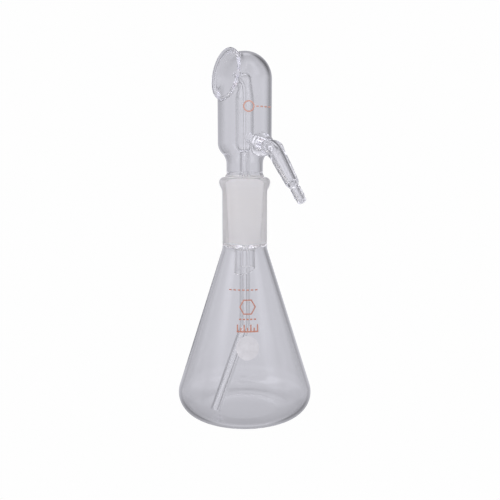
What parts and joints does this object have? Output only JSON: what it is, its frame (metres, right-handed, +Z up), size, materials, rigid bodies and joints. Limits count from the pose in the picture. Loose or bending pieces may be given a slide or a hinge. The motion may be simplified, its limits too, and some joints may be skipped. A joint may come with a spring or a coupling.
{
  "type": "reagent sprayer flask",
  "caption": "Conical glass flask with a ground socket, holding a lift-out spray head with a hooded side mouth, a serrated air arm, an inner air jacket and a bent dip tube.",
  "frame": {"origin": "centre of the plane that the flask stands on", "axes": "+Z up along the axis of the flask and its ground joint; -Y is the printed front; the spray mouth faces -X and -Y, the side arm +X and -Y"},
  "size_m": [0.085, 0.0858, 0.2272],
  "materials": {
    "clear_glass": "clear polished borosilicate",
    "ground_glass": "ground, translucent and matt",
    "white_enamel": "matt fired enamel",
    "rust_print": "matt fired enamel print"
  },
  "bodies": {
    "flask": {"flask_body": "clear_glass", "ground_socket": "ground_glass", "marking_spot": "white_enamel", "emblem_print": "rust_print", "scale_print": "rust_print", "dash_print": "rust_print"},
    "joint_cone": {"ground_cone": "ground_glass"},
    "spray_head": {"hood": "clear_glass", "ring_seal": "clear_glass", "side_arm": "clear_glass", "hose_tip": "clear_glass", "air_bridge": "clear_glass", "air_jacket": "clear_glass", "spray_nozzle": "clear_glass", "jet_capillary": "clear_glass", "dip_tube": "clear_glass", "drip_tip": "clear_glass", "hood_print": "rust_print"}
  },
  "joints": [
    {"name": "head_lift", "type": "slide", "parent": "flask", "child": "joint_cone", "axis": [0, 0, 1], "range_m": [0, 0.045]},
    {"name": "head_swivel", "type": "hinge", "parent": "joint_cone", "child": "spray_head", "pos_m": [0, 0, 0.15], "axis": [0, 0, 1], "continuous": true}
  ]
}
